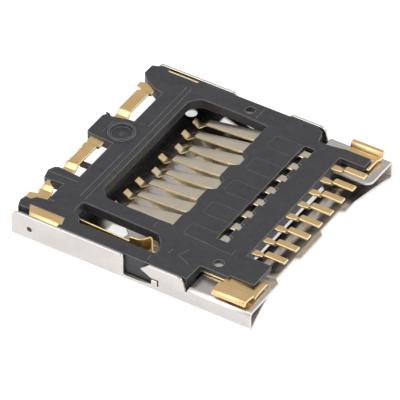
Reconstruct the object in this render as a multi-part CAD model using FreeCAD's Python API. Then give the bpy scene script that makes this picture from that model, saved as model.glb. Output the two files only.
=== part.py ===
import FreeCAD, Part
import math
import os

from FreeCAD import Vector

# A push-pull microSD card connector, seen as it lies on its metal shell with the board side up.
# X runs from the closed rear to the card mouth, Y across the contacts and Z up to the board side.
# The origin is the middle of the shell plate's outer face. All sizes are in millimetres.

# Driving sizes of the shell, one folded sheet
shell_length = 14.0
shell_width = 13.9
shell_sheet = 0.15
shell_bend = 0.14
wall_above_cover = 0.04
wall_corner = 0.42
wall_end_corner = 0.25
left_wall_gap = 0.98
right_wall_gap = 2.8
rear_relief_depth = 0.56
rear_relief_margin = 0.9
flange_height = 1.10
flange_length = 3.75
flange_reach = 2.30
flange_corner = 0.85
flange_bend = 0.12
notch_depth = 0.85
notch_half = 0.2
notch_corner = 0.4
strip_height = 0.40
finger_tip_rise = 0.76
finger_tip_setback = 2.65
finger_top_setback = 2.15
finger_hook_setback = 2.0
finger_corner = 0.08
catch_width = 0.34
catch_rise = 0.35
relief_slit = 0.08
dimple_setback = 1.06
dimple_height = 0.74
dimple_radius = 0.34
dimple_depth = 0.03
dimple_hole_radius = 0.14
dimple_hole_depth = 0.1

# Driving sizes of the shell plate's front lip and openings
lip_depth = 0.85
lip_tab_depth = 0.24
lip_tab_half = 1.15
lip_ramp = 0.1
lip_corner = 0.05
lip_shoulder = 3.15
lip_shoulder_depth = 0.28
lip_flank_width = 0.9
lip_flank_corner = 0.5
lip_end_depth = 0.3
lip_end_width = 1.5
lip_end_corner = 0.8
bead_depth = 0.07
bead_width = 0.95
bead_rear_slope = 0.11
bead_front_slope = 0.34
bead_setback = 1.9
bead_near_margin = 0.4
bead_far_margin = 0.1
plate_slot_width = 0.46
plate_slot_setback = 2.47
plate_slot_step = 0.08
plate_slot_near_margin = 0.75
plate_slot_far_margin = 0.3
plate_slot_corner = 0.2
plate_hole_radius = 0.31
plate_hole_setback = 0.3
plate_hole_margin = 0.18
lock_window_setback = 0.94
lock_window_length = 1.12
lock_window_width = 0.8
lock_window_margin = 0.1
lock_window_corner = 0.12
tongue_setback = 1.42
tongue_length = 1.9
tongue_width = 0.4
tongue_margin = 0.38
tongue_gap = 0.12
tongue_lift = 0.46
tongue_bend = 0.3

# Driving sizes of the moulded housing
card_space = 0.83
cover_thickness = 0.55
board_standoff = 0.12
side_clearance = 0.05
plate_clearance = 0.02
channel_half = 5.6
rear_bar_rear = 1.5
rear_bar_front = 3.0
rear_wall_thickness = 0.75
cover_gap = 0.05
cover_corner = 0.08
cover_slant = 0.2
window_front = 6.58
window_left = 3.58
window_left_slant = 0.55
window_right = 5.57
window_corner = 0.5
window_taper = 0.1
window_taper_length = 1.6
castle_first = -1.91
castle_depth = 0.38
castle_half = 0.36
castle_slant = 0.24
edge_break = 0.035
front_edge_setback = 2.1
front_chamfer = 0.12
front_notch_margin = 1.22
shoulder_length = 0.75
shoulder_step = 0.15
flange_gap = 0.03
flange_relief_margin = 0.08
peephole_setback = 3.52
peephole_length = 0.62
peephole_width = 0.5
peephole_shift = 0.05
first_peephole_extra = 0.25
groove_width = 0.44
groove_depth = 0.4
tool_hole_radius = 0.27
right_hole_setback = 3.04
right_hole_margin = 0.64
left_hole_setback = 0.96
left_hole_margin = 0.51
slot_margin = 0.85
slot_width = 1.43
slot_rear = 2.7
slot_front = 6.1
slot_corner = 0.12
slot_step = 0.1
rail_pocket_length = 4.3
rail_pocket_wall = 0.34
arm_reach = 1.38
left_arm_margin = 1.35
left_arm_width = 1.7
right_arm_margin = 0.77
right_arm_width = 0.72
block_overhang = 0.16
block_corner = 0.08
block_spur = 0.25
right_block_width = 1.82
middle_block_far = 2.22
middle_block_near = 0.2
small_block_far = -2.92
small_block_near = -3.75
left_block_width = 1.57
bridge_length = 0.8
bridge_width = 0.2
bridge_shift = 1.3
boss_radius = 0.72
boss_rise = 0.1
boss_rim = 0.12
boss_draft = 0.06
boss_dish_depth = 0.18
boss_nub_radius = 0.16
boss_nub_height = 0.08
boss_setback = 1.42
boss_side = 1.15

# Driving sizes of the stamped contacts
contact_count = 8
contact_pitch = 1.10
first_contact = 4.57
contact_sheet = 0.12
tail_width = 0.40
tail_length = 1.15
tail_setback = 0.23
tail_step = 0.2
tail_ramp = 0.14
tail_neck = 0.28
neck_length = 0.15
contact_level = 0.33
contact_bend = 0.08
blade_jog = 0.26
shank_jog = 0.05
shank_width = 0.54
shank_setback = 0.9
blade_start = 1.2
blade_width = 0.85
blade_bend = 0.6
neck_width = 0.48
tip_width = 0.40
neck_setback = 4.24
neck_height = 0.72
bump_setback = 3.76
bump_height = 0.30
bump_bend = 0.12
tip_setback = 3.36
tip_height = 0.52
early_contacts = (3, 5)
early_shift = 0.3

# Driving sizes of the solder tabs, nails and lock spring
tab_sheet = 0.12
tab_width = 0.72
tab_setback = 0.30
tab_step = 0.22
tab_ramp = 0.24
tab_bend = 0.1
tab_seat = 0.4
tab_end_reach = 0.35
tab_clearance = 0.03
tab_notch_depth = 0.07
side_nail_rear = 0.56
side_nail_length = 2.05
side_nail_slant = 0.5
side_nail_inset = 0.04
side_nail_width = 0.62
side_nail_bend = 0.5
side_nail_hook = 0.3
side_nail_drop = 0.75
nail_recess_width = 0.42
nail_recess_depth = 0.4
lug_width = 0.62
lug_end = 0.12
lug_depth = 0.18
front_nail_margin = 0.12
front_nail_drop = 0.24
nail_rise = 0.29
nail_ramp = 0.12
nail_seat = 0.3
nail_corner = 0.12
left_foot_setback = 0.3
right_foot_setback = 0.52
foot_gap = 0.02
left_pad = 0.72
right_pad = 0.28
left_nail_ends = (2.27, 0.24)
right_nail_ends = (2.27, 0.38)
root_length = 1.43
root_width = 1.0
root_step = 0.16
root_depth = 0.12
lock_leaf = 0.09
leaf_drop = 0.3
leaf_low_step = 0.26

# Planes and edges that follow from the sizes above
front = shell_length / 2
rear = -shell_length / 2
side = shell_width / 2
plate_top = shell_sheet
cover_under = plate_top + card_space
cover_top = cover_under + cover_thickness
board_plane = cover_top + board_standoff
wall_top = cover_top + wall_above_cover
fold_start = front - flange_length
flange_inner = side - flange_reach
housing_side = side - shell_sheet - side_clearance
housing_floor = plate_top + plate_clearance
bar_rear = rear + rear_bar_rear
bar_front = rear + rear_bar_front
window_end = front - window_front
front_edge = front - front_edge_setback
front_notch_half = housing_side - front_notch_margin
left_arm_outer = housing_side - left_arm_margin
left_arm_inner = left_arm_outer - left_arm_width
right_arm_outer = housing_side - right_arm_margin
right_arm_inner = right_arm_outer - right_arm_width
arm_end = front_edge + arm_reach
slot_start = rear + slot_rear
slot_end = front - slot_front
slot_outer = housing_side - slot_margin
slot_inner = slot_outer - slot_width
right_block_near = housing_side - right_block_width
left_block_near = left_block_width - housing_side
peephole_front = front - peephole_setback
peephole_rear = peephole_front - peephole_length
right_hole = (bar_front + right_hole_setback, housing_side - right_hole_margin)
left_hole = (front_edge - left_hole_setback, left_hole_margin - left_arm_outer)
last_contact = first_contact - (contact_count - 1) * contact_pitch
buried_low = flange_height + flange_gap
arm_under = buried_low + tab_sheet
beyond = 1.0
overlap = 0.02


def wire_of(corners, place):
    """Closed wire through corners (u, v) or (u, v, radius), where a radius rounds that corner."""
    points = [Vector(corner[0], corner[1], 0) for corner in corners]
    radii = [corner[2] if len(corner) > 2 else 0.0 for corner in corners]
    bends = []
    for index, here in enumerate(points):
        to_last = points[index - 1] - here
        to_next = points[(index + 1) % len(points)] - here
        half = to_last.getAngle(to_next) / 2
        reach = 0.0
        if radii[index] > 0 and 0.01 < half < math.pi / 2 - 0.01:
            reach = radii[index] / math.tan(half)
            reach = min(reach, 0.49 * to_last.Length, 0.49 * to_next.Length)
        to_last.normalize()
        to_next.normalize()
        enter = here + to_last * reach
        leave = here + to_next * reach
        middle = here
        if reach > 0:
            radius = reach * math.tan(half)
            inward = to_last + to_next
            inward.normalize()
            middle = here + inward * (radius / math.sin(half) - radius)
        bends.append((enter, middle, leave, reach))
    edges = []
    for index, (enter, middle, leave, reach) in enumerate(bends):
        if reach > 0:
            edges.append(Part.Arc(place(enter), place(middle), place(leave)).toShape())
        start = leave
        end = bends[(index + 1) % len(bends)][0]
        if (end - start).Length > 1e-6:
            edges.append(Part.LineSegment(place(start), place(end)).toShape())
    return Part.Wire(edges)


def plan(corners, low, high):
    """Solid whose outline is drawn from above."""
    wire = wire_of(corners, lambda p: Vector(p.x, p.y, low))
    return Part.Face(wire).extrude(Vector(0, 0, high - low))


def along_y(corners, low, high):
    """Solid whose outline is drawn in X and Z."""
    wire = wire_of(corners, lambda p: Vector(p.x, low, p.y))
    return Part.Face(wire).extrude(Vector(0, high - low, 0))


def along_x(corners, low, high):
    """Solid whose outline is drawn in Y and Z."""
    wire = wire_of(corners, lambda p: Vector(low, p.x, p.y))
    return Part.Face(wire).extrude(Vector(high - low, 0, 0))


def box(x0, x1, y0, y1, z0, z1):
    return plan([(x0, y0), (x1, y0), (x1, y1), (x0, y1)], z0, z1)


def drum(x, y, radius, low, high):
    return Part.makeCylinder(radius, high - low, Vector(x, y, low))


def bent_sheet(path, thickness):
    """Outline of a bent sheet from its middle line, given as (u, v) or (u, v, bend radius)."""
    sides = {1: [], -1: []}
    points = [Vector(step[0], step[1], 0) for step in path]
    radii = [step[2] if len(step) > 2 else 0.0 for step in path]
    for index, here in enumerate(points):
        into = here - points[max(index - 1, 0)]
        out = points[min(index + 1, len(points) - 1)] - here
        if index == 0:
            into = out
        if index == len(points) - 1:
            out = into
        turn = into.x * out.y - into.y * out.x
        normal_in = Vector(-into.y, into.x, 0).normalize()
        normal_out = Vector(-out.y, out.x, 0).normalize()
        bisector = (normal_in + normal_out).normalize()
        stretch = thickness / 2 / bisector.dot(normal_in)
        for hand in (1, -1):
            place = here + bisector * (hand * stretch)
            radius = 0.0
            if radii[index] > 0:
                radius = max(radii[index] - math.copysign(thickness / 2, hand * turn), 0.0)
            sides[hand].append((place.x, place.y, radius))
    return sides[1] + sides[-1][::-1]


def mirrored(corners):
    """The same outline on the other side of the X axis."""
    return [(corner[0], -corner[1]) + tuple(corner[2:]) for corner in corners]


def wall_outline(gap):
    """Side view of one shell wall: tall rear part, low strip, catch, spring finger and fold notch."""
    tip = fold_start - finger_tip_setback
    hook = fold_start - finger_hook_setback
    wall_end = tip - gap
    catch_top = strip_height + catch_rise
    catch_end = hook + catch_width
    above_flange = flange_height + lip_ramp
    return [
        (rear, -beyond),
        (rear, wall_top, wall_corner),
        (wall_end, wall_top, wall_end_corner),
        (wall_end, strip_height, finger_corner),
        (hook, strip_height),
        (hook, catch_top, finger_corner),
        (catch_end, catch_top),
        (catch_end, strip_height),
        (catch_end + relief_slit, strip_height),
        (catch_end + relief_slit, catch_top + relief_slit),
        (hook, catch_top + relief_slit, finger_corner),
        (tip, strip_height + finger_tip_rise, finger_corner / 2),
        (fold_start - finger_top_setback, wall_top, finger_corner),
        (fold_start - notch_half, wall_top, notch_corner),
        (fold_start, wall_top - notch_depth, finger_corner / 2),
        (fold_start + notch_half, above_flange),
        (front + beyond, above_flange),
        (front + beyond, -beyond),
    ]


def lip_outline():
    """Front edge of the shell plate: stepped and hollow between its two corners."""
    lip = front - lip_depth
    flank = lip + lip_shoulder_depth
    half = [
        (lip + lip_tab_depth, 0),
        (lip + lip_tab_depth, lip_tab_half - lip_ramp, lip_corner),
        (lip, lip_tab_half + lip_ramp, lip_corner),
        (lip, lip_shoulder - lip_ramp, lip_corner),
        (flank, lip_shoulder + lip_ramp, lip_corner),
        (flank, lip_shoulder + lip_flank_width, lip_flank_corner),
        (front - lip_end_depth, side - lip_end_width, lip_end_corner),
        (front, side - 2 * lip_ramp),
        (front, side + beyond),
    ]
    other = mirrored(half[:0:-1])
    return other + half + [(front + 2 * beyond, side + beyond), (front + 2 * beyond, -side - beyond)]


def plate_cuts():
    """Openings in the shell plate: mouth slot, round hole and lock window."""
    x1 = front - plate_slot_setback
    x0 = x1 - plate_slot_width
    near = last_contact + plate_slot_near_margin
    far = first_contact - plate_slot_far_margin
    step = first_contact - 2 * contact_pitch
    slot = [
        (x0, near, plate_slot_corner),
        (x1, near, plate_slot_corner),
        (x1, step),
        (x1 + plate_slot_step, step + plate_slot_step),
        (x1 + plate_slot_step, far, plate_slot_corner),
        (x0, far, plate_slot_corner),
    ]
    x = bar_front + lock_window_setback
    y = lock_window_margin - slot_inner
    length = lock_window_length
    width = lock_window_width
    lock = [
        (x, y),
        (x + 0.92 * length, y),
        (x + length, y + 0.47 * width, lock_window_corner),
        (x + 0.6 * length, y + width, lock_window_corner),
        (x, y + 0.88 * width),
    ]
    hole = drum(bar_front - plate_hole_setback, channel_half + plate_hole_margin,
                plate_hole_radius, -beyond, plate_top + overlap)
    return [plan(slot, -beyond, plate_top + overlap), plan(lock, -beyond, plate_top + overlap), hole]


def bead_pocket():
    """Coined groove behind the mouth lip: steep at its rear, gentle towards the lip, round ends."""
    near = last_contact + bead_near_margin
    far = first_contact + bead_far_margin
    rings = []
    for x0, x1, inset, level in (
        (0.0, bead_width, 0.0, plate_top),
        (bead_rear_slope, bead_width - bead_front_slope, bead_rear_slope, plate_top - bead_depth),
    ):
        start = front - bead_setback + x0
        end = front - bead_setback + x1
        round_end = 0.48 * (x1 - x0)
        corners = [
            (start, near + inset, round_end), (end, near + inset, round_end),
            (end, far - inset, round_end), (start, far - inset, round_end),
        ]
        rings.append(wire_of(corners, lambda p, z=level: Vector(p.x, p.y, z)))
    return Part.makeLoft(rings, True, True)


def tongue():
    """Small springy tongue of the shell plate beside the card path, lifted at its round end."""
    end = bar_front + tongue_setback
    start = end + tongue_length
    near = channel_half + tongue_margin
    far = near + tongue_width
    path = [
        (start, shell_sheet / 2),
        (start - 0.26 * tongue_length, shell_sheet / 2, tongue_bend),
        (end + 0.16 * tongue_length, tongue_lift, tongue_bend),
        (end, tongue_lift),
    ]
    strip = along_y(bent_sheet(path, 0.8 * shell_sheet), near, far)
    outline = plan([
        (end, near, 0.48 * tongue_width), (start, near), (start, far), (end, far, 0.48 * tongue_width),
    ], -beyond, beyond)
    window = plan([
        (end - tongue_gap, near - tongue_gap, tongue_gap),
        (start - tongue_gap, near - tongue_gap, tongue_gap),
        (start - tongue_gap, far + tongue_gap, tongue_gap),
        (end - tongue_gap, far + tongue_gap, tongue_gap),
    ], -beyond, plate_top + overlap)
    return strip.common(outline), window


def wall_dimple():
    """Shallow pressed dish with a small blind hole near the rear of the left wall."""
    centre = Vector(rear + dimple_setback, -side, dimple_height)
    ball = (dimple_radius ** 2 + dimple_depth ** 2) / (2 * dimple_depth)
    dish = Part.makeSphere(ball, centre - Vector(0, ball - dimple_depth, 0))
    hole = Part.makeCylinder(dimple_hole_radius, dimple_hole_depth + beyond,
                             centre - Vector(0, beyond, 0), Vector(0, 1, 0))
    return [dish, hole]


def make_shell():
    middle = shell_sheet / 2
    bend = shell_bend + middle
    wall_y = side - middle
    rear_section = along_x(bent_sheet([
        (-wall_y, wall_top), (-wall_y, middle, bend), (wall_y, middle, bend), (wall_y, wall_top),
    ], shell_sheet), rear, fold_start)
    flange_z = flange_height - middle
    fold = flange_bend + middle
    inner = flange_inner
    front_section = along_x(bent_sheet([
        (-inner, flange_z), (-wall_y, flange_z, fold), (-wall_y, middle, bend),
        (wall_y, middle, bend), (wall_y, flange_z, fold), (inner, flange_z),
    ], shell_sheet), fold_start, front)
    shell = rear_section.fuse(front_section)
    wall_inside = side - shell_sheet - shell_bend / 2
    for hand, gap in ((-1, left_wall_gap), (1, right_wall_gap)):
        low, high = sorted((hand * (side + beyond), hand * wall_inside))
        around = box(rear - beyond, front + beyond, low, high, -beyond, wall_top + beyond)
        shell = shell.cut(around.cut(along_y(wall_outline(gap), low, high)))
        # Inner front corner of the folded flange
        corner = plan([
            (front + beyond, hand * (inner - beyond)),
            (front + beyond, hand * (inner + flange_corner)),
            (front, hand * (inner + flange_corner)),
            (front, hand * inner, 0.97 * flange_corner),
            (front - flange_corner, hand * inner),
            (front - flange_corner, hand * (inner - beyond)),
        ], flange_height - 2 * shell_sheet, flange_height + beyond)
        shell = shell.cut(corner)
        # The flange starts a little ahead of the fold notch
        low, high = sorted((0, hand * wall_inside))
        shell = shell.cut(box(fold_start - overlap, fold_start + notch_half - overlap, low, high,
                              flange_height - 2 * shell_sheet, wall_top + beyond))
    # Rear edge of the plate stands back between the side walls
    shell = shell.cut(box(rear - beyond, rear + rear_relief_depth, -side + rear_relief_margin,
                          side - rear_relief_margin, -beyond, wall_top + beyond))
    shell = shell.cut(plan(lip_outline(), -beyond, plate_top + overlap))
    spring, window = tongue()
    for opening in plate_cuts() + [window]:
        shell = shell.cut(opening)
    shell = shell.fuse(spring).cut(bead_pocket())
    for cutter in wall_dimple():
        shell = shell.cut(cutter)
    return shell.removeSplitter()


def cover_outline():
    """Outline of the housing's cover, seen from the board side."""
    left = -housing_side
    right = housing_side
    return [
        (bar_rear, left),
        (fold_start - cover_gap, left, cover_corner),
        (fold_start, -front_notch_half, cover_corner),
        (front_edge, -front_notch_half),
        (front_edge, right_arm_outer),
        (fold_start + shoulder_length, right_arm_outer - shoulder_step, cover_slant),
        (fold_start + cover_gap, right_arm_outer - 1.5 * shoulder_step, cover_corner),
        (fold_start - cover_slant, right - cover_slant, cover_corner),
        (fold_start - 3 * cover_slant, right, cover_corner),
        (bar_rear, right),
    ]


def window_outline():
    """Contact window, with dovetailed notches in its front edge between blades."""
    corners = [
        (bar_front, window_left_slant - window_left, 0.7 * window_corner),
        (bar_front + window_left_slant, -window_left, 0.7 * window_corner),
        (window_end, -window_left),
    ]
    for index, share in enumerate((0.35, 1.0, 1.0)):
        middle = castle_first + index * 2 * contact_pitch
        deep = window_end + castle_depth * share
        corners += [
            (window_end, middle - castle_half - castle_slant),
            (deep, middle - castle_half),
            (deep, middle + castle_half),
            (window_end, middle + castle_half + castle_slant),
        ]
    corners += [
        (window_end, window_right - window_taper),
        (window_end - window_taper_length, window_right),
        (bar_front + window_corner, window_right, window_corner),
        (bar_front, window_right - window_corner, window_corner),
    ]
    return corners


def slot_outline():
    """Side slot of the card lock: stepped at its rear corner, round at its front end."""
    width = slot_width
    return [
        (slot_start, -slot_inner, slot_corner),
        (slot_end - width / 2, -slot_inner - slot_step, width / 5),
        (slot_end - width / 7, -slot_inner - 0.46 * width, width / 5),
        (slot_end, -slot_outer + width / 7, slot_corner),
        (slot_end - slot_step, -slot_outer, slot_corner),
        (slot_start + 0.46 * width, -slot_outer, slot_corner),
        (slot_start + 0.35 * width, -slot_outer + width / 4, slot_corner),
        (slot_start, -slot_outer + 0.43 * width, slot_corner),
    ]


def rear_blocks():
    """The four blocks behind the rear bar, which hold the rear tabs: outline and underside."""
    end = rear - block_overhang
    right = housing_side
    soft = block_corner
    clear = rear + tab_setback + tab_width + tab_clearance
    wide = right_block_width
    blocks = [([
        (end, right - wide / 2, soft), (end, right - wide / 9, soft), (rear + wide / 5, right),
        (bar_rear, right), (bar_rear, right - wide), (clear, right - 0.97 * wide),
        (rear + 0.31 * wide, right - 0.82 * wide), (rear + 0.15 * wide, right - 0.75 * wide),
    ], cover_under - 0.15 * card_space)]
    near = middle_block_near
    far = middle_block_far
    wide = far - near
    spur = block_spur
    blocks.append(([
        (end, near + 0.08 * wide, soft), (end, far - 1.6 * spur), (end + spur / 2, far - spur),
        (end, far - spur / 4), (end + spur, far - 0.4 * spur), (end + 1.7 * spur, far - spur),
        (rear + 0.6 * wide, far), (bar_rear, far), (bar_rear, near),
        (rear + 0.07 * wide, near + 0.03 * wide),
    ], cover_under))
    near = small_block_near
    far = small_block_far
    wide = far - near
    blocks.append(([
        (end, far - 0.45 * wide, soft), (rear, far, soft), (rear + wide / 4, far + wide / 8),
        (bar_rear, far), (bar_rear, near), (rear, near - 0.2 * wide, soft),
    ], cover_under))
    wide = left_block_width
    blocks.append(([
        (end + 0.05 * wide, 0.49 * wide - right, soft), (rear, 0.73 * wide - right, soft),
        (rear + 0.22 * wide, 0.71 * wide - right), (rear + 0.32 * wide, 0.87 * wide - right),
        (bar_rear, wide - right), (bar_rear, -right), (rear + 0.29 * wide, -right, soft),
        (rear + 0.06 * wide, 0.2 * wide - right, soft),
    ], housing_floor))
    return blocks


def broken_openings(body):
    """Contact window and lock slot, cut through the cover with their top edges broken."""
    body = body.cut(plan(window_outline(), -beyond, board_plane + beyond))
    body = body.cut(plan(slot_outline(), housing_floor, cover_top + beyond))
    rims = []
    for edge in body.Edges:
        area = edge.BoundBox
        at_top = area.ZMin > cover_top - overlap
        inside = area.XMin > bar_front - slot_step and area.XMax < window_end + castle_depth + slot_step
        in_slot = area.XMin > slot_start - slot_step and area.XMax < slot_end + slot_step
        beside = area.YMax < slot_step - slot_inner and area.YMin > -slot_outer - slot_step
        across = area.YMin > -window_left - slot_step and area.YMax < window_right + slot_step
        if at_top and ((inside and across) or (in_slot and beside)):
            rims.append(edge)
    return body.makeChamfer(edge_break, rims)


def peepholes():
    """Blind windows over the contacts, the groove that joins them and two round tool holes."""
    floor = cover_top - groove_depth
    top = cover_top + beyond
    cuts = []
    for index in range(contact_count):
        middle = first_contact - index * contact_pitch + peephole_shift
        extra = first_peephole_extra if index == 0 else 0.0
        cuts.append(box(peephole_rear, peephole_front, middle - peephole_width / 2,
                        middle + peephole_width / 2 + extra, floor, top))
    cuts.append(box(peephole_rear - overlap, peephole_rear - overlap + groove_width,
                    last_contact, first_contact, floor, top))
    for (x, y), depth in ((right_hole, lug_depth), (left_hole, root_depth)):
        cuts.append(drum(x, y, tool_hole_radius, cover_top - depth, top))
    return cuts


def arm(inner, outer, hand):
    """One arm of the cover beside the card mouth."""
    corners = [
        (front_edge - cover_slant, inner), (arm_end, inner, cover_corner),
        (arm_end, outer, cover_corner), (front_edge - cover_slant, outer),
    ]
    return plan(corners if hand > 0 else mirrored(corners), arm_under, cover_top)


def gate_boss(body):
    """Low round boss on the rear bar with a dished top and a nub where the mould was fed."""
    x = rear + boss_setback
    top = cover_top + boss_rise
    floor = Vector(x, boss_side, top - boss_dish_depth)
    dish = boss_radius - boss_rim
    body = body.fuse(drum(x, boss_side, boss_radius, cover_under, top))
    body = body.cut(Part.makeCone(dish - boss_draft, dish, boss_dish_depth, floor))
    return body.fuse(Part.makeCone(boss_nub_radius, boss_nub_radius / 2, boss_nub_height, floor))


def make_housing(metal):
    left = -housing_side
    right = housing_side
    body = plan(cover_outline(), cover_under, cover_top)
    # Side rails, the right one hollowed beside the window, and the rear wall
    pocket = bar_front - rear_wall_thickness
    pocket_end = pocket + rail_pocket_length
    rail_inner = housing_side - rail_pocket_wall
    rail_end = fold_start - 3 * cover_slant
    bridge = middle_block_near - tab_seat - bridge_shift
    rails = [
        box(bar_rear, fold_start - cover_slant, left, -channel_half, housing_floor, cover_under),
        plan([
            (bar_rear, channel_half), (pocket, channel_half), (pocket, rail_inner),
            (pocket_end, rail_inner), (pocket_end, channel_half), (rail_end, channel_half),
            (rail_end, right), (bar_rear, right),
        ], housing_floor, cover_under),
        box(bar_rear, bar_rear + rear_wall_thickness, left, right, housing_floor, cover_under),
        box(bar_rear - 2 * bridge_width, bar_rear, left_block_near, small_block_near, cover_under, cover_top),
        box(bar_rear - bridge_length, bar_rear, bridge - bridge_width, bridge,
            cover_under, cover_top - cover_thickness / 2),
    ]
    rails += [plan(corners, low, cover_top) for corners, low in rear_blocks()]
    rails.append(arm(left_arm_inner, left_arm_outer, -1))
    rails.append(arm(right_arm_inner, right_arm_outer, 1))
    for piece in rails:
        body = body.fuse(piece)
    # The cover is thinner where it lies over the folded flanges
    for hand in (-1, 1):
        low, high = sorted((hand * (flange_inner - flange_relief_margin), hand * (side + beyond)))
        body = body.cut(box(fold_start - cover_gap, front + beyond, low, high, -beyond, buried_low))
    body = broken_openings(body.removeSplitter())
    for cutter in peepholes():
        body = body.cut(cutter)
    # Sloping top of the front edge, and the recesses that bare the side nails
    body = body.cut(along_y([
        (front_edge + beyond, cover_top - 2 * front_chamfer - beyond),
        (front_edge + beyond, cover_top + beyond),
        (front_edge - front_chamfer / 2, cover_top), (front_edge, cover_top - 2 * front_chamfer),
    ], -left_arm_inner, right_arm_inner))
    nail_start = rear + side_nail_rear
    nail_end = nail_start + side_nail_length
    body = body.cut(box(rear + nail_corner, nail_end, left - beyond, left + nail_recess_width,
                        cover_top - nail_recess_depth, cover_top + beyond))
    body = body.cut(box(nail_start + side_nail_slant / 2, nail_end, right - tab_sheet / 2, right + beyond,
                        cover_top - nail_recess_depth, cover_top + beyond))
    body = gate_boss(body)
    # Seats of the metal pieces that the plastic is moulded round
    for piece in metal:
        body = body.cut(piece)
    return body.removeSplitter()


def contact_profile(shift):
    """Side view of a contact: pad, step down, level shank and the bent spring blade."""
    tail_z = board_plane - contact_sheet / 2
    pad_rear = front - tail_setback - tail_length
    level = cover_under + contact_level
    low = tail_z - tail_step
    return bent_sheet([
        (front - tail_setback, tail_z),
        (pad_rear, tail_z, contact_bend),
        (pad_rear - tail_ramp, low, contact_bend),
        (peephole_rear + tail_ramp, low, contact_bend),
        (peephole_rear, level, contact_bend),
        (window_end + blade_start / 4, level, blade_bend),
        (rear + neck_setback + shift, neck_height, 2 * bump_bend),
        (rear + bump_setback + shift, bump_height, bump_bend),
        (rear + tip_setback + shift, tip_height),
    ], contact_sheet)


def contact_blank(tail, shift):
    """Outline of a contact from above: waisted tail, straight shank and a tapered blade."""
    far = tail + blade_jog + blade_width / 2
    neck_far = far - blade_width / 14
    tip_far = neck_far - (neck_width - tip_width) / 2
    waist = front - tail_setback - tail_length - tail_ramp
    shank_front = front_edge - shank_setback
    shank_rear = peephole_rear - contact_level
    half = tail_width / 2
    neck = tail_neck / 2
    ramp = tail_ramp
    shank = tail + shank_jog
    # From the tail's end along the far edge: (distance along X, distance from the tail's middle)
    far_edge = [
        (front - tail_setback, tail + half), (waist + ramp, tail + half),
        (waist, tail + neck), (waist - neck_length, tail + neck),
        (waist - 2 * neck_length, tail + half), (front_edge - ramp, tail + half),
        (shank_front, shank + shank_width / 2), (shank_rear, shank + shank_width / 2),
        (window_end + blade_start, far),
        (rear + neck_setback + shift, neck_far, blade_bend),
        (rear + bump_setback + shift, tip_far), (rear + tip_setback + shift, tip_far),
    ]
    near_edge = [
        (rear + tip_setback + shift, tip_far - tip_width), (rear + bump_setback + shift, tip_far - tip_width),
        (rear + neck_setback + shift, neck_far - neck_width, blade_bend),
        (window_end - blade_start / 3, far - blade_width, blade_bend),
        (window_end + blade_start, far - blade_width),
        (shank_rear, shank - shank_width / 2), (shank_front, shank - shank_width / 2),
        (front_edge - ramp, tail - half), (waist - 2 * neck_length, tail - half),
        (waist - neck_length, tail - neck), (waist, tail - neck),
        (waist + ramp, tail - half), (front - tail_setback, tail - half),
    ]
    return far_edge + near_edge


def make_contact(number):
    """One signal contact: solder tail, moulded-in shank, sideways jog and bent spring blade."""
    tail = first_contact - (number - 1) * contact_pitch
    shift = early_shift if number in early_contacts else 0.0
    strip = along_y(contact_profile(shift), tail - beyond, tail + 1.5 * beyond)
    return strip.common(plan(contact_blank(tail, shift), -beyond, board_plane + beyond))


def notched_edge(x, start, steps):
    """Points along a tab's rear edge, stepping inwards at each notch (from, to) in tab widths."""
    points = []
    for low, high in steps:
        near = start + low * tab_width
        far = start + high * tab_width
        points += [(x, near), (x + tab_notch_depth, near), (x + tab_notch_depth, far), (x, far)]
    return points


def make_rear_tabs():
    """Three strips across the rear: each stands up to the board plane between two blocks."""
    start = rear + tab_setback
    end = start + tab_width
    tip = start - tab_end_reach
    high = board_plane - tab_sheet / 2
    low = high - tab_step
    seat = tab_seat
    ramp = tab_ramp
    bend = tab_bend
    near = middle_block_far
    far = right_block_near
    first = ([
        (near - seat, low), (near + seat / 2, low, bend), (near + seat / 2 + ramp, high, bend),
        (far - seat / 2 - 1.5 * ramp, high, bend), (far - seat / 2 - ramp / 2, low, bend),
        (far + 2 * seat, low),
    ], [
        (end, near - seat), (start, near - seat), (start, far - seat / 2), (tip, far - seat / 4),
        (tip, far + 0.8 * seat), (start, far + seat), (start + seat / 4, far + 2 * seat),
        (end, far + 2 * seat),
    ])
    near = small_block_far
    far = middle_block_near
    second = ([
        (near - seat, low), (near + seat, low, bend), (near + seat + ramp, high, bend),
        (far - seat / 2 - 2.5 * ramp, high, bend), (far - seat / 2 - 1.5 * ramp, low, bend),
        (far + seat, low),
    ], [(end, near - seat), (start, near - seat)]
        + notched_edge(start, near, ((0.93, 1.21), (1.35, 2.39), (2.53, 2.74)))
        + [(start, far - 1.5 * seat), (start - seat / 3, far - seat), (start - seat / 3, far + seat),
           (end, far + seat)])
    near = left_block_near
    far = small_block_near
    third = ([
        (far + seat / 2, low), (far - seat / 4, low, bend), (far - seat / 4 - ramp, high, bend),
        (near + seat + 1.75 * ramp, high, bend), (near + 1.5 * seat, low, bend), (near - 2 * seat, low),
    ], [
        (end, near - 2 * seat), (start - seat, near - 2 * seat), (start - seat, near + seat / 4),
        (start, near + seat / 2), (start, near + 0.9 * seat), (start - seat / 3, near + seat),
        (start, near + 2 * seat), (start, far + seat), (start + seat / 2, far + seat),
        (start + seat / 2, far - seat), (end - seat / 3, far - 1.6 * seat), (end, near + seat / 2),
    ])
    tabs = []
    for path, blank in (first, second, third):
        strip = along_x(bent_sheet(path, tab_sheet), start - beyond, end)
        tabs.append(strip.common(plan(blank, 0, board_plane + beyond)))
    return tabs


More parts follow.
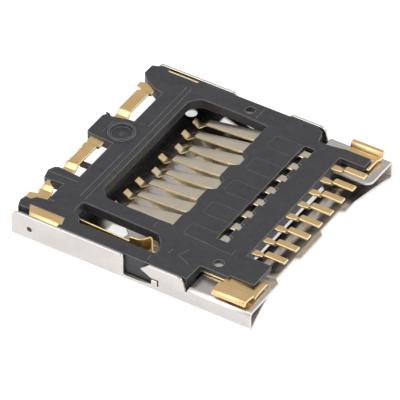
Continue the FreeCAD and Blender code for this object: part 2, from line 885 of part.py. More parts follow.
def make_side_nail(hand):
    """Rear hold-down at one side of the housing: a rolled strip left, an upright strip right."""
    outer = housing_side - tab_sheet / 2
    x0 = rear + side_nail_rear
    x1 = x0 + side_nail_length
    level = cover_top - side_nail_inset
    if hand < 0:
        inner = outer - side_nail_width
        strip = along_x(bent_sheet([
            (side_nail_hook - inner, level - side_nail_hook), (-inner, level, tab_bend),
            (-outer, level, side_nail_bend), (-outer, level - side_nail_drop),
        ], tab_sheet), x0 - beyond, x1 + beyond)
        return strip.common(plan([
            (x0, beyond - inner), (x0, -inner), (x0 + side_nail_slant, -side),
            (x1 + side_nail_slant / 2, -side), (x1, -inner), (x1, beyond - inner),
        ], 0, board_plane))
    # The upright strip ends flush with the cover's outer face
    upright = box(x0 + side_nail_slant / 2, x1, outer - tab_sheet, outer, level - side_nail_drop, cover_top)
    # The strip's buried lug reaches forward to the round tool hole
    reach = right_hole[0] + lug_end
    high = cover_top - lug_depth
    lug = box(x0 + side_nail_slant / 2, reach, outer - lug_width - tab_sheet, outer - tab_sheet,
              high - tab_sheet, high)
    lug = lug.cut(box(x1, reach + beyond, outer - 2 * tab_sheet, outer, 0, board_plane))
    return upright.fuse(lug).removeSplitter()


def make_front_nail(hand):
    """Front hold-down: raised solder pad beside the arm and a foot round the arm's front end."""
    ends, pad, arm_side = (left_nail_ends, left_pad, left_arm_outer)
    foot_front = front - left_foot_setback
    if hand > 0:
        ends, pad, arm_side = (right_nail_ends, right_pad, right_arm_outer)
        foot_front = front - right_foot_setback
    x0 = front - ends[0]
    x1 = front - ends[1]
    outer = side - front_nail_margin
    high = board_plane - tab_sheet / 2
    low = high - nail_rise
    seat = nail_seat
    fold = (outer - pad - nail_ramp / 2, outer - pad + nail_ramp / 2)
    path = [
        (arm_side - seat, low), (fold[0], low, contact_bend), (fold[1], high, contact_bend),
        (outer, high, nail_corner), (outer + side_nail_inset, high - front_nail_drop),
    ]
    strip = along_x(bent_sheet([(hand * y, z) + tuple(rest) for y, z, *rest in path], tab_sheet), x0, x1)
    blank = plan([
        (x0, hand * (arm_side - seat)), (x0, hand * (side + tab_sheet), nail_corner),
        (x1 - nail_corner, hand * (side + tab_sheet), nail_corner), (x1, hand * (outer - pad), nail_corner),
        (foot_front, hand * (arm_side + 0.8 * seat)), (arm_end, hand * (arm_side + seat / 3)),
        (arm_end - seat, hand * (arm_side - seat)),
    ], 0, board_plane + beyond)
    foot = plan([
        (arm_end + foot_gap, hand * (arm_side - 2 * seat)), (foot_front, hand * (arm_side - 2 * seat)),
        (foot_front, hand * (arm_side + seat)), (arm_end + foot_gap, hand * (arm_side + seat)),
    ], low - tab_sheet / 2, low + tab_sheet / 2)
    nail = strip.common(blank).fuse(foot)
    if hand < 0:
        # The left nail's root runs back under the cover, steps up and shows in the round tool hole
        edge = -front_notch_half
        under = buried_low + tab_sheet / 2
        above = cover_top - root_depth - tab_sheet / 2
        root = along_x(bent_sheet([
            (edge, under), (edge + root_step, under, contact_bend),
            (edge + 2 * root_step, above, contact_bend), (edge + root_width, above),
        ], tab_sheet), x0 - root_length, x0 + seat)
        nail = nail.fuse(root)
    return nail.removeSplitter()


def make_lock_spring():
    """Standing leaf in the side slot, low at its rear, with a V bump that holds the card."""
    length = slot_end - slot_start
    shares = [
        (-0.067, 0.385, 0), (0.635, 0.294, 0.3), (0.765, 0.35, 0.3), (0.796, 0.517, 0.1),
        (0.827, 0.685, 0.1), (0.865, 0.545, 0.1), (0.95, 0.056, 0.1), (1.015, -0.028, 0),
    ]
    path = [(slot_start + along * length, across * slot_width - slot_outer, bend)
            for along, across, bend in shares]
    leaf = plan(bent_sheet(path, lock_leaf), cover_under - leaf_drop, cover_top - overlap)
    low_part = box(slot_start - beyond, slot_start + 0.65 * length, -slot_outer, -slot_inner,
                   cover_under + leaf_low_step, board_plane)
    return leaf.cut(low_part)


def main():
    os.makedirs("parts", exist_ok=True)
    contacts = {f"contact_{number}": make_contact(number) for number in range(1, contact_count + 1)}
    tabs = {f"rear_tab_{number}": tab for number, tab in enumerate(make_rear_tabs(), 1)}
    nails = {
        "side_nail_left": make_side_nail(-1),
        "side_nail_right": make_side_nail(1),
        "front_nail_left": make_front_nail(-1),
        "front_nail_right": make_front_nail(1),
    }
    springs = {"card_lock_spring": make_lock_spring()}
    metal = {**contacts, **tabs, **nails, **springs}
    parts = {"shell": make_shell(), "housing": make_housing(list(metal.values())), **metal}
    for name, shape in parts.items():
        solids = shape.Solids
        print(name, "solids", len(solids), "volume", round(shape.Volume, 4), "valid", shape.isValid())
        whole = solids[0] if len(solids) == 1 else shape
        whole.exportStep(f"parts/{name}.step")


main()
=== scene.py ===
# %% [markdown]
# # A memory card connector: black moulding, folded steel and stamped contacts
# The solids of the connector come ready packed: the housing, the folded shell, eight
# contacts and the small strips that hold it to a board. Their sizes and places stay as
# they are. The work left for Blender is what a maker would call finish: how the moulding
# takes the light, which faces of the metal are plated, the small rounds at the stamped
# edges, and the hair-thin lines that the mould leaves.
#
# The whole part is only 14 mm long. Every length below is in metres, so a millimetre
# is written as a multiple of `MM`.

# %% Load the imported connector
import math

import bmesh
import bpy
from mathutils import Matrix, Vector


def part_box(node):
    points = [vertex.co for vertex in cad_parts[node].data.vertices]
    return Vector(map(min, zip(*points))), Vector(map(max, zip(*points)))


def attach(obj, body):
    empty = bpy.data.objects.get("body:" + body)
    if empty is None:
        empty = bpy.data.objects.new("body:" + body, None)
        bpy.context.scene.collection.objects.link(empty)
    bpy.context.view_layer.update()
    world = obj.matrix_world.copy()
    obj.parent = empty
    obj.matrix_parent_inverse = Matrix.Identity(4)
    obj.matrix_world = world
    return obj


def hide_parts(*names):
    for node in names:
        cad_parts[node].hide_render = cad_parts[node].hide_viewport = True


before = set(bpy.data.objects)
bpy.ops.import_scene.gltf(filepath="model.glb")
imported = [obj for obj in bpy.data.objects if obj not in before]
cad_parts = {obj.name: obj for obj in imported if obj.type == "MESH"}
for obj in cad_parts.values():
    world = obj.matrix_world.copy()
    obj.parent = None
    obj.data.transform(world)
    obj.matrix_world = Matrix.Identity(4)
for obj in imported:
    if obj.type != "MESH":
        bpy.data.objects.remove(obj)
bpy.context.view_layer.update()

MM = 0.001

# %% Put a new object in the scene
def add_object(name, data):
    """A new object of the scene that shows the given data."""
    thing = bpy.data.objects.new(name, data)
    bpy.context.scene.collection.objects.link(thing)
    return thing

# %% [markdown]
# ## The camera
# Small electronic parts are photographed with a long lens from far away, so their parallel
# edges stay nearly parallel. An orthographic camera could be used as well. A real
# long lens was chosen, because a trace of perspective is left in the picture, and the lines
# only meet where they should with it. The part sits a little right of and above the middle
# of the picture, so the camera aims a little left of and below the part's own middle.

# %% Place a long lens at the picture's angle
AZIMUTH = math.radians(31.796)
ELEVATION = math.radians(40.206)
CAMERA_DISTANCE = 300 * MM
PIXELS_PER_MM = 19.877
PICTURE_WIDTH = 400
SENSOR = 36.0
MIDDLE_HEIGHT = 0.7 * MM
PART_TO_THE_RIGHT = 0.165 * MM
PART_UPWARD = 0.268 * MM

toward_camera = Vector((
    math.sin(AZIMUTH) * math.cos(ELEVATION),
    -math.cos(AZIMUTH) * math.cos(ELEVATION),
    math.sin(ELEVATION),
))
to_the_right = Vector((math.cos(AZIMUTH), math.sin(AZIMUTH), 0))
upward = toward_camera.cross(to_the_right)
middle = Vector((0, 0, MIDDLE_HEIGHT))
aim = middle - to_the_right * PART_TO_THE_RIGHT - upward * PART_UPWARD

camera_data = bpy.data.cameras.new("camera")
camera_data.sensor_width = SENSOR
camera_data.lens = PIXELS_PER_MM * CAMERA_DISTANCE / MM * SENSOR / PICTURE_WIDTH
camera_data.clip_start = 0.01
camera_data.clip_end = 10.0
camera = add_object("camera", camera_data)
camera.location = aim + toward_camera * CAMERA_DISTANCE
camera.rotation_mode = "QUATERNION"
camera.rotation_quaternion = (-toward_camera).to_track_quat("-Z", "Y")
bpy.context.scene.camera = camera
print("lens", round(camera_data.lens), "mm")

# %% [markdown]
# ## Shader nodes, placed by two short helpers
# A material in Blender is a graph of nodes. Writing each node, its settings and its links by
# hand makes long code, so one helper adds a node and fills its sockets, either with a value
# or with a link from another node. A second helper starts a node group: an effect with
# named inputs and outputs that several materials use, each with its own values.

# %% Helpers for shader graphs
def fill(tree, socket, value):
    """Gives a socket a plain value, or links another node's socket to it."""
    if isinstance(value, bpy.types.NodeSocket):
        tree.links.new(value, socket)
    else:
        socket.default_value = value


def add_node(tree, kind, inputs=None, **settings):
    """Adds a node; its inputs are named or numbered, its settings are its own fields."""
    node = tree.nodes.new(kind)
    for name, value in settings.items():
        setattr(node, name, value)
    for name, value in (inputs or {}).items():
        fill(tree, node.inputs[name], value)
    return node


def start_group(name, inputs, outputs):
    """A new shader group with float or vector sockets, and the sockets of its two ends."""
    group = bpy.data.node_groups.new(name, "ShaderNodeTree")
    for label, kind, value in inputs:
        socket = group.interface.new_socket(
            label, in_out="INPUT", socket_type="NodeSocket" + kind)
        socket.default_value = value
    for label, kind in outputs:
        group.interface.new_socket(label, in_out="OUTPUT", socket_type="NodeSocket" + kind)
    group_inputs = group.nodes.new("NodeGroupInput").outputs
    group_outputs = group.nodes.new("NodeGroupOutput").inputs
    return group, group_inputs, group_outputs


def use_group(tree, group, **inputs):
    """Places a group in a material; input names are written with underscores for spaces."""
    node = add_node(tree, "ShaderNodeGroup", node_tree=group)
    for name, value in inputs.items():
        fill(tree, node.inputs[name.replace("_", " ")], value)
    return node.outputs

# %% [markdown]
# ## Surface grain
# Moulded plastic carries the fine spark texture of its mould, and rolled sheet metal has
# faint lines along the rolling direction. Both are noise in object space: the same noise,
# only stretched for the metal. So one group makes grain for every material, with the
# number of grains per metre along each axis as its input.

# %% Grain group
grain_group, grain_in, grain_out = start_group(
    "surface grain",
    [("Grains per metre", "Vector", (20000, 20000, 20000)), ("Detail", "Float", 2.0)],
    [("Grain", "Float")],
)
place = add_node(grain_group, "ShaderNodeTexCoord")
stretched = add_node(grain_group, "ShaderNodeVectorMath", {
    0: place.outputs["Object"], 1: grain_in["Grains per metre"],
}, operation="MULTIPLY")
noise_node = add_node(grain_group, "ShaderNodeTexNoise", {
    "Vector": stretched.outputs["Vector"], "Scale": 1.0, "Roughness": 0.55,
    "Detail": grain_in["Detail"],
})
grain_group.links.new(noise_node.outputs["Fac"], grain_out["Grain"])

# %% [markdown]
# ## Bright edges
# On a small moulding the edges are what shows its form: each has a tiny radius from the
# mould, and it catches the lamp. Rounding every edge of the housing's mesh would cost
# thousands of faces. The Bevel node instead tells how far the shading normal would turn
# within a small radius, and that turn is a mask, white only at edges. The plastic uses the
# turned normal for its shading, and the mask to paint its edges paler: a painted highlight.

# %% Edge group
edge_group, edge_in, edge_out = start_group(
    "edge mask",
    [("Width", "Float", 0.04 * MM), ("Gain", "Float", 4.0)],
    [("Edge", "Float"), ("Normal", "Vector")],
)
rounded = add_node(edge_group, "ShaderNodeBevel", {"Radius": edge_in["Width"]}, samples=10)
surface = add_node(edge_group, "ShaderNodeNewGeometry")
same_way = add_node(edge_group, "ShaderNodeVectorMath", {
    0: rounded.outputs["Normal"], 1: surface.outputs["True Normal"],
}, operation="DOT_PRODUCT")
turned = add_node(edge_group, "ShaderNodeMath", {0: 1.0, 1: same_way.outputs["Value"]},
                  operation="SUBTRACT")
stronger = add_node(edge_group, "ShaderNodeMath", {0: turned.outputs[0], 1: edge_in["Gain"]},
                    operation="MULTIPLY", use_clamp=True)
edge_group.links.new(stronger.outputs[0], edge_out["Edge"])
edge_group.links.new(rounded.outputs["Normal"], edge_out["Normal"])

# %% [markdown]
# ## Plating zones
# Strips are plated in stripes while they are still on their reel: gold where the board is
# soldered and where the card touches, a paler nickel between. A stripe is a range along one
# direction, so this group measures the place along an axis and compares it with a start
# and an end.

# %% Zone group
zone_group, zone_in, zone_out = start_group(
    "zone along an axis",
    [("Axis", "Vector", (1, 0, 0)), ("Start", "Float", 0.0), ("End", "Float", 0.001)],
    [("Zone", "Float")],
)
zone_place = add_node(zone_group, "ShaderNodeTexCoord")
along_axis = add_node(zone_group, "ShaderNodeVectorMath", {
    0: zone_place.outputs["Object"], 1: zone_in["Axis"],
}, operation="DOT_PRODUCT")
ramp = add_node(zone_group, "ShaderNodeMapRange", {
    "Value": along_axis.outputs["Value"], "From Min": zone_in["Start"], "From Max": zone_in["End"],
}, interpolation_type="SMOOTHSTEP")
zone_group.links.new(ramp.outputs["Result"], zone_out["Zone"])

# %% [markdown]
# ## Materials
# Each finish keeps its own Principled shader, so that its gloss is set in plain sight. The
# groups only bring masks and grain to it.

# %% A material and its shader
GRAIN_LOW = 0.3
GRAIN_HIGH = 0.7


def start_material(name, **sockets):
    """A node material with a Principled shader, whose plain values are set on its sockets."""
    material = bpy.data.materials.new(name)
    material.use_nodes = True
    tree = material.node_tree
    shader = tree.nodes["Principled BSDF"]
    for label, value in sockets.items():
        shader.inputs[label.replace("_", " ")].default_value = value
    return material, tree, shader


def mix_colours(tree, mask, first, second):
    """A colour between two, by a mask; the node numbers its colour sockets 6, 7 and 2."""
    mix = add_node(tree, "ShaderNodeMix", data_type="RGBA")
    for index, value in ((0, mask), (6, first), (7, second)):
        fill(tree, mix.inputs[index], value)
    return mix.outputs[2]


def spread(tree, value, low, high):
    """Maps the usual range of a grain to a range of roughness, or to a mask."""
    return add_node(tree, "ShaderNodeMapRange", {
        "Value": value, "From Min": GRAIN_LOW, "From Max": GRAIN_HIGH,
        "To Min": low, "To Max": high,
    }).outputs["Result"]


def add_relief(tree, shader, height, distance, **softened):
    """Turns a height into the shader's normal, on top of a softened Normal if one is given."""
    bump = add_node(tree, "ShaderNodeBump", {
        "Height": height, "Distance": distance, "Strength": 1.0, **softened,
    })
    tree.links.new(bump.outputs["Normal"], shader.inputs["Normal"])

# %% [markdown]
# ### Black moulded plastic
# The housing is a glass-filled black plastic. It is not truly black: the filler makes
# it a dark grey, cloudy where the melt flowed. Its edges are painted paler, a painted
# highlight where the rounds catch the lamp. The mould's texture is finer than a picture of
# the whole part can show, so it is spread over two scales: a coarse mottling that is seen
# from afar, and a fine grain that only breaks the gloss.

# %% Housing plastic
plastic, tree, shader = start_material("moulded plastic", IOR=1.6)
fine = use_group(tree, grain_group, Grains_per_metre=(14000, 14000, 14000), Detail=2.0)["Grain"]
mottled = use_group(tree, grain_group, Grains_per_metre=(3200, 3200, 3200), Detail=3.0)["Grain"]
cloudy = use_group(tree, grain_group, Grains_per_metre=(500, 900, 700), Detail=3.0)["Grain"]
edge = use_group(tree, edge_group, Width=0.06 * MM, Gain=5.0)
body_colour = mix_colours(tree, spread(tree, cloudy, 0.0, 1.0),
                          (0.017, 0.017, 0.021, 1), (0.031, 0.031, 0.036, 1))
mottled_colour = mix_colours(tree, spread(tree, mottled, 0.0, 0.6), body_colour,
                             (0.045, 0.044, 0.050, 1))
# The paler colour at the edges is a painted highlight.
plastic_colour_with_edge_highlight = mix_colours(tree, edge["Edge"], mottled_colour, (0.33, 0.322, 0.325, 1))
tree.links.new(plastic_colour_with_edge_highlight, shader.inputs["Base Color"])
tree.links.new(spread(tree, fine, 0.40, 0.54), shader.inputs["Roughness"])
add_relief(tree, shader, fine, 0.003 * MM, Normal=edge["Normal"])

# %% [markdown]
# ### Stainless sheet
# The shell is rolled stainless sheet. Rolling leaves fine lines along the part, and the
# sheared edges are painted brighter than the flats, a painted highlight.

# %% Shell steel
steel, tree, shader = start_material("rolled stainless", Metallic=1.0)
rolled = use_group(tree, grain_group, Grains_per_metre=(700, 6000, 6000), Detail=2.0)["Grain"]
clouds = use_group(tree, grain_group, Grains_per_metre=(400, 500, 500), Detail=3.0)["Grain"]
steel_colour = mix_colours(tree, spread(tree, clouds, 0.0, 1.0),
                           (0.62, 0.585, 0.56, 1), (0.71, 0.675, 0.65, 1))
tree.links.new(steel_colour, shader.inputs["Base Color"])
tree.links.new(spread(tree, rolled, 0.22, 0.28), shader.inputs["Roughness"])
add_relief(tree, shader, rolled, 0.0001 * MM)

# %% [markdown]
# ### Gold plating
# The strips and contacts are stamped from thin copper alloy and then plated. Thin gold over
# nickel is paler than a ring: a sandy yellow in the flats, nearly white where it turns to
# the lamp. Outside the plated stripe the nickel shows, which is greyer. A function builds
# the finish of the flats, and each kind of strip gets its own stripes. The strips' edges
# get a brighter colour of their own further down, a painted highlight.

# %% A plated strip
GOLD_FLATS = ((0.84, 0.57, 0.26, 1), (0.91, 0.64, 0.33, 1))


def plated_strip(name, rolling, bare_flats, stripes):
    """Gold in the stripes (axis, start, end) of a strip, and its bare colour elsewhere."""
    material, tree, shader = start_material(name, Metallic=1.0)
    rolled = use_group(tree, grain_group, Grains_per_metre=rolling, Detail=2.0)["Grain"]
    clouds = use_group(tree, grain_group, Grains_per_metre=(1400, 1400, 1400), Detail=3.0)["Grain"]
    patches = spread(tree, clouds, 0.0, 1.0)
    plated = 0.0
    for axis, start, end in stripes:
        stripe = use_group(tree, zone_group, Axis=axis, Start=start, End=end)["Zone"]
        plated = add_node(tree, "ShaderNodeMath", {0: plated, 1: stripe},
                          operation="MAXIMUM").outputs[0]
    colour = mix_colours(tree, plated, mix_colours(tree, patches, *bare_flats),
                         mix_colours(tree, patches, *GOLD_FLATS))
    tree.links.new(colour, shader.inputs["Base Color"])
    tree.links.new(spread(tree, rolled, 0.26, 0.33), shader.inputs["Roughness"])
    add_relief(tree, shader, rolled, 0.0006 * MM)
    return material


along_part = (1, 0, 0)
nickel = ((0.69, 0.61, 0.49, 1), (0.77, 0.69, 0.57, 1))
# A darker copy of the nickel: painted shade for the far strip, seen only in shaded openings.
shaded_nickel = ((0.40, 0.38, 0.35, 1), (0.48, 0.46, 0.42, 1))
bright_nickel = ((0.66, 0.63, 0.58, 1), (0.74, 0.71, 0.66, 1))
rolled_across = (4500, 900, 4500)

gold = plated_strip("gold plating", rolled_across, nickel, [(along_part, -9 * MM, -8 * MM)])
contact_finish = plated_strip("striped plating", (900, 5000, 5000), nickel, [
    (along_part, 3.5 * MM, 4.3 * MM), (along_part, -2.2 * MM, -4.2 * MM),
])
# The far strip's bare metal takes the darker nickel, a painted shade.
far_strip_finish = plated_strip("gold plating of the far strip", rolled_across, shaded_nickel,
                                [(along_part, -4.2 * MM, -4.35 * MM)])
near_pad_finish = plated_strip("gold plating of the near pad", rolled_across, bright_nickel,
                               [((1, -0.6, 0), 8.05 * MM, 8.2 * MM)])

# %% [markdown]
# ### Spring bronze
# The leaf that holds the card is a copper alloy without plating, so its yellow is deeper
# than the gold's. Stains from its hardening make it duller too.

# %% Lock spring bronze
bronze, tree, shader = start_material("spring bronze", Metallic=1.0)
stains = use_group(tree, grain_group, Grains_per_metre=(2500, 2500, 2500), Detail=3.0)["Grain"]
leaf_colour = mix_colours(tree, spread(tree, stains, 0.0, 1.0),
                          (0.92, 0.58, 0.16, 1), (1.0, 0.72, 0.27, 1))
tree.links.new(leaf_colour, shader.inputs["Base Color"])
tree.links.new(spread(tree, stains, 0.42, 0.54), shader.inputs["Roughness"])
add_relief(tree, shader, stains, 0.0008 * MM)

# %% [markdown]
# ### Drawn edges with a painted highlight
# The sheared and drawn edges of all the sheets are painted brighter than their flats, a
# painted highlight on top of the real rounds, without rolling lines and without stripes.
# One function makes them, since only the metal differs.

# %% Edge finishes painted brighter as a highlight
def edge_highlight_material(name, colours, low, high):
    """A sheet's edge: a plain metal in a brighter, painted-highlight colour, a little uneven, with
    a range of roughness.
    """
    material, tree, shader = start_material(name, Metallic=1.0)
    uneven = use_group(tree, grain_group, Grains_per_metre=(2500, 2500, 2500), Detail=2.0)["Grain"]
    colour = mix_colours(tree, spread(tree, uneven, 0.0, 1.0), *colours)
    tree.links.new(colour, shader.inputs["Base Color"])
    tree.links.new(spread(tree, uneven, low, high), shader.inputs["Roughness"])
    return material


# Each edge colour is lighter than its metal's flats: a painted highlight.
gold_edge_highlight = edge_highlight_material("drawn gold edge",
                       ((0.97, 0.74, 0.38, 1), (1.0, 0.82, 0.48, 1)), 0.28, 0.36)
bronze_edge_highlight = edge_highlight_material("drawn bronze edge",
                         ((0.98, 0.74, 0.30, 1), (1.0, 0.84, 0.45, 1)), 0.26, 0.34)
steel_edge_highlight = edge_highlight_material("drawn steel edge",
                        ((0.75, 0.72, 0.70, 1), (0.83, 0.80, 0.78, 1)), 0.36, 0.44)

# %% [markdown]
# ## Finishes on the solids
# The housing keeps its imported solid, and only the material in its slot is exchanged. The
# metal pieces need more: a die draws the edges of stamped metal round, and in a picture of
# a small part those rounds are the bright lines that give each strip its form. They could
# be faked with the Bevel node too, but on sheet this thin it is noisy, because a whole
# edge is hardly wider than its radius. Real faces catch the lamps cleanly.
#
# So each metal solid is copied, and its triangles are joined to whole faces again. A Bevel
# modifier rounds every edge that turns sharply and gives the new faces the second
# material, which is painted brighter than the flats as a highlight. The faces that the die
# has cut through the sheet get it too: they are narrow, so their area is small for their
# rim, and the rim turns sharply nearly all round. At a few acute corners the rounds reach
# past the sheet, so all corners are held inside the solid's own box. The copy then stands
# for the solid.

# %% Round the edges of a copy
SAME_PLACE = 0.0001 * MM
FLAT = math.radians(0.5)
TURN = math.radians(50)
CUT_FACE = 0.085 * MM
SHARP_RIM = 0.6
ROUND_STEPS = 3


def make_mesh(name, mesh, *materials):
    """Turns a finished bmesh into mesh data with its materials."""
    data = bpy.data.meshes.new(name)
    mesh.to_mesh(data)
    mesh.free()
    for material in materials:
        data.materials.append(material)
    return data


def is_cut_face(face):
    """Tells whether a face is a narrow one that the die has cut through the sheet."""
    around = face.calc_perimeter()
    sharp = sum(edge.calc_length() for edge in face.edges if edge.calc_face_angle(0) > TURN)
    return face.calc_area() < CUT_FACE * around and sharp > SHARP_RIM * around


def round_edges(name, slot, width, sheet_finish, edge_highlight_finish):
    """A copy of a solid with rounded edges that stands for it, in two finishes: sheet and painted
    edge highlight.
    """
    mesh = bmesh.new()
    mesh.from_mesh(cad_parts[name].data)
    bmesh.ops.remove_doubles(mesh, verts=mesh.verts, dist=SAME_PLACE)
    bmesh.ops.dissolve_limit(mesh, angle_limit=FLAT, verts=mesh.verts, edges=mesh.edges)
    for face in mesh.faces:
        face.smooth = True
        face.material_index = 1 if is_cut_face(face) else 0
    data = make_mesh("rounded_" + name, mesh, sheet_finish, edge_highlight_finish)
    piece = add_object("rounded_" + name, data)
    rounds = piece.modifiers.new("rounded edges", "BEVEL")
    rounds.width = width
    rounds.segments = ROUND_STEPS
    rounds.limit_method = "ANGLE"
    rounds.angle_limit = TURN
    rounds.use_clamp_overlap = False
    rounds.harden_normals = True
    rounds.material = 1
    depsgraph = bpy.context.evaluated_depsgraph_get()
    rounded = bpy.data.meshes.new_from_object(piece.evaluated_get(depsgraph))
    piece.modifiers.clear()
    piece.data = rounded
    bpy.data.meshes.remove(data)
    low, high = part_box(name)
    for corner in rounded.vertices:
        corner.co = [
            min(max(along, least), most) for along, least, most in zip(corner.co, low, high)
        ]
    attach(piece, "root")
    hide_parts(name)

# %% Dress every solid
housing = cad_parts["housing"]
if not housing.material_slots:
    housing.data.materials.append(plastic)
housing.material_slots[0].material = plastic

CONTACTS = 8
PLAIN_TAB = ("solder_tabs", 0.05 * MM, gold, gold_edge_highlight)
SHEETS = {
    "shell": ("shell", 0.035 * MM, steel, steel_edge_highlight),
    "card_lock_spring": ("lock_spring", 0.035 * MM, bronze, bronze_edge_highlight),
    "side_nail_right": ("solder_tabs", 0.035 * MM, far_strip_finish, gold_edge_highlight),
    "front_nail_left": ("solder_tabs", 0.04 * MM, near_pad_finish, gold_edge_highlight),
}
for number in range(1, CONTACTS + 1):
    SHEETS[f"contact_{number}"] = ("contacts", 0.035 * MM, contact_finish, gold_edge_highlight)
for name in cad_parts:
    if name != "housing":
        round_edges(name, *SHEETS.get(name, PLAIN_TAB))
print("dressed", len(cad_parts), "solids")

# %% [markdown]
# ## Witness lines of the mould
# A mould is built from blocks. Where two of them meet under the cover, the plastic creeps
# into the joint and leaves a raised hair line a few hundredths of a millimetre wide.
# They could be painted in the material, but a real ridge catches the lamp on one
# side and keeps doing so from every view, so each is a small mesh with a roof-shaped section.
# The flash is painted paler than the body of the moulding, a painted highlight like the one on its
# edges.

# %% Flash on the mould's joints
flash, tree, shader = start_material("moulding flash", IOR=1.6, Roughness=0.5)
patchy = use_group(tree, grain_group, Grains_per_metre=(3000, 3000, 3000), Detail=3.0)["Grain"]
# The paler flash colour is a painted highlight.
flash_highlight_colour = mix_colours(tree, spread(tree, patchy, 0.0, 1.0),
                           (0.085, 0.084, 0.088, 1), (0.17, 0.167, 0.17, 1))
tree.links.new(flash_highlight_colour, shader.inputs["Base Color"])

# %% Raised hair lines
NAIL_ABOVE_COVER = 0.12 * MM
cover_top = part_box("front_nail_left")[1].z - NAIL_ABOVE_COVER


def add_ridge(name, points, width, height):
    """A roof-shaped line along points (x, y) in millimetres, lying on the cover."""
    mesh = bmesh.new()
    rows = []
    spots = [Vector((x * MM, y * MM, cover_top)) for x, y in points]
    for index, spot in enumerate(spots):
        before = spots[max(index - 1, 0)]
        after = spots[min(index + 1, len(spots) - 1)]
        along = (after - before).normalized()
        across = Vector((-along.y, along.x, 0)) * (width / 2)
        rows.append([
            mesh.verts.new(spot + across - Vector((0, 0, height / 2))),
            mesh.verts.new(spot + Vector((0, 0, height))),
            mesh.verts.new(spot - across - Vector((0, 0, height / 2))),
        ])
    for row, following in zip(rows, rows[1:]):
        for side in range(3):
            other = (side + 1) % 3
            mesh.faces.new((row[side], row[other], following[other], following[side]))
    mesh.faces.new(rows[0][::-1])
    mesh.faces.new(rows[-1])
    bmesh.ops.recalc_face_normals(mesh, faces=mesh.faces)
    ridge = add_object(name, make_mesh(name, mesh, flash))
    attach(ridge, "root")


WITNESS_WIDTH = 0.06 * MM
WITNESS_HEIGHT = 0.02 * MM
WITNESS_LINES = {
    "rear_corner": [(-4.69, 5.95), (-4.67, 2.26), (-5.18, 2.23)],
    "rear_long": [(-4.40, 6.02), (-4.32, -4.3)],
    "rear_middle": [(-4.66, -0.1), (-4.68, -4.17)],
    "rear_block": [(-6.44, 1.68), (-6.45, 0.53)],
    "left_block": [(-7.05, -3.36), (-5.3, -3.3)],
    "right_tick": [(-0.36, 6.53), (-0.38, 5.71)],
    "window_tick": [(-0.30, -3.88), (-0.33, -4.22)],
    "slot_tick": [(0.76, -6.14), (0.78, -6.53)],
    "front_tick": [(4.14, -3.58), (4.15, -4.1)],
    "front_bracket": [(2.17, -4.81), (1.9, -5.43), (2.71, -5.76)],
    "front_dash": [(1.43, -5.17), (1.42, -5.57)],
}
for label, points in WITNESS_LINES.items():
    add_ridge("witness_" + label, points, WITNESS_WIDTH, WITNESS_HEIGHT)
print("witness lines", len(WITNESS_LINES))

# %% [markdown]
# Five mould inserts behind the small windows have left outlines that are fainter than the
# joints. They are the same ridge, only lower and thinner, drawn round a rectangle whose
# corners are cut.

# %% Insert outlines
INSERT_SIDES = ((4.05, 5.08), (2.0, 3.05), (-0.05, 1.0), (-2.03, -1.0), (-3.9, -2.98))
INSERT_ENDS = (1.2, 2.75)
INSERT_WIDTH = 0.025 * MM
INSERT_HEIGHT = 0.006 * MM
JOINT_WIDTH = 0.03 * MM
JOINT_HEIGHT = 0.008 * MM
CUT = 0.12
for number, (low, high) in enumerate(INSERT_SIDES, 1):
    start, end = INSERT_ENDS
    outline = [
        (end, low), (start + CUT, low), (start, low + CUT), (start, high - CUT),
        (start + CUT, high), (end, high),
    ]
    add_ridge(f"insert_{number}", outline, INSERT_WIDTH, INSERT_HEIGHT)
add_ridge("insert_joint", [(1.3, -3.88), (4.11, -4.04)], JOINT_WIDTH, JOINT_HEIGHT)
print("insert outlines", len(INSERT_SIDES))

# %% [markdown]
# ## The hole in the near wall
# The hole in the side wall looks dark: the moulding lies behind it, and the hole is in
# shade. The solid has it as a blind hole, so a small disc of the moulding's plastic closes
# it just under the wall's face, standing for the moulding and for a painted shade.

# %% Plastic and painted shade in the wall hole
HOLE_RADIUS = 0.139 * MM
HOLE_X = -5.94 * MM
HOLE_HEIGHT = 0.74 * MM
UNDER_THE_FACE = 0.03 * MM

hole_mesh = bmesh.new()
bmesh.ops.create_circle(hole_mesh, cap_ends=True, segments=24, radius=HOLE_RADIUS)
# The disc stands for the moulding behind the hole and paints the shade in it.
hole_shade_disc = add_object("wall_hole_floor", make_mesh("wall_hole_floor", hole_mesh, plastic))
hole_shade_disc.rotation_euler.x = math.radians(90)
hole_shade_disc.location = (HOLE_X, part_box("shell")[0].y + UNDER_THE_FACE, HOLE_HEIGHT)
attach(hole_shade_disc, "root")

# %% [markdown]
# ## Floor and light
# The part lies on a plain white floor in a small light tent. A soft lamp stands over the
# viewer's left shoulder, with a low card beside it for the near wall. A larger one stands
# low at the right, and another is the tent's bright roof. A lamp at the far right gives the
# glints on faces that turn away. The world fills the rest. The floor glows a little for
# the camera and for reflections, so it reads as white without more light on the part, and
# it still takes a shadow.

# %% Floor
FLOOR_RADIUS = 0.6
FLOOR_GAP = 0.01 * MM
FLOOR_GREY = (0.78, 0.78, 0.78, 1)
SEEN_GLOW = 0.62
MIRRORED_GLOW = 0.45

floor_mesh = bmesh.new()
bmesh.ops.create_circle(floor_mesh, cap_ends=True, segments=96, radius=FLOOR_RADIUS)
floor = add_object("floor", make_mesh("floor", floor_mesh))
floor.location.z = -FLOOR_GAP

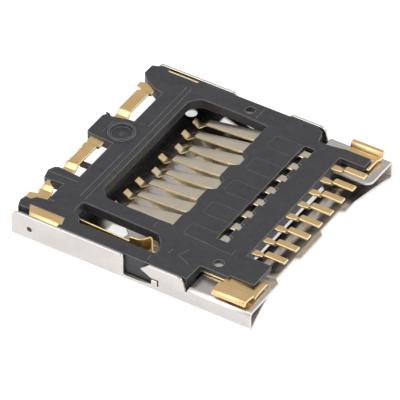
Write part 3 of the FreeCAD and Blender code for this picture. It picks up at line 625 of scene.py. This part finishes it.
floor_finish = bpy.data.materials.new("white floor")
floor_finish.use_nodes = True
tree = floor_finish.node_tree
tree.nodes.remove(tree.nodes["Principled BSDF"])
seen_by = add_node(tree, "ShaderNodeLightPath").outputs
mirrored = add_node(tree, "ShaderNodeMath", {
    0: seen_by["Is Glossy Ray"], 1: seen_by["Is Transmission Ray"],
}, operation="MAXIMUM")
mirrored_level = add_node(tree, "ShaderNodeMath", {0: mirrored.outputs[0], 1: MIRRORED_GLOW},
                          operation="MULTIPLY")
glow_level = add_node(tree, "ShaderNodeMath", {
    0: seen_by["Is Camera Ray"], 1: SEEN_GLOW, 2: mirrored_level.outputs[0],
}, operation="MULTIPLY_ADD")
glow = add_node(tree, "ShaderNodeEmission", {
    "Color": (1, 1, 1, 1), "Strength": glow_level.outputs[0],
})
matt = add_node(tree, "ShaderNodeBsdfDiffuse", {"Color": FLOOR_GREY})
both = add_node(tree, "ShaderNodeAddShader", {0: glow.outputs[0], 1: matt.outputs[0]})
tree.links.new(both.outputs[0], tree.nodes["Material Output"].inputs["Surface"])
floor.data.materials.append(floor_finish)

# %% Lamps
LAMP_DISTANCE = 0.45
LAMPS = {
    "left_softbox": ((-0.40, -0.66, 0.62), 0.22, 2.1),
    "left_card": ((-0.40, -0.88, 0.18), 0.20, 1.5),
    "right_softbox": ((0.93, 0.0, 0.34), 0.28, 2.1),
    "far_softbox": ((0.54, 0.65, 0.52), 0.20, 1.6),
    "roof_softbox": ((-0.25, -0.3, 0.92), 0.26, 1.5),
}


def add_lamp(name, direction, size, radiance):
    """A square soft lamp that shines at the part; its level is given as radiance."""
    data = bpy.data.lights.new(name, "AREA")
    data.shape = "SQUARE"
    data.size = size
    data.energy = radiance * math.pi * size * size
    lamp = add_object(name, data)
    way = Vector(direction).normalized()
    lamp.location = way * LAMP_DISTANCE
    lamp.rotation_mode = "QUATERNION"
    lamp.rotation_quaternion = way.to_track_quat("Z", "Y")


for name, (direction, size, radiance) in LAMPS.items():
    add_lamp(name, direction, size, radiance)
print("lamps", len(LAMPS))

# %% World
WORLD_LIGHT = 0.6
WORLD_SEEN = 1.0

world = bpy.data.worlds.new("light tent")
bpy.context.scene.world = world
world.use_nodes = True
tree = world.node_tree
background = tree.nodes["Background"]
seen_by = add_node(tree, "ShaderNodeLightPath").outputs
sky_level = add_node(tree, "ShaderNodeMix", {
    0: seen_by["Is Camera Ray"], 2: WORLD_LIGHT, 3: WORLD_SEEN,
}, data_type="FLOAT")
tree.links.new(sky_level.outputs[0], background.inputs["Strength"])
background.inputs["Color"].default_value = (1, 1, 1, 1)

bpy.context.scene.view_settings.view_transform = "Standard"
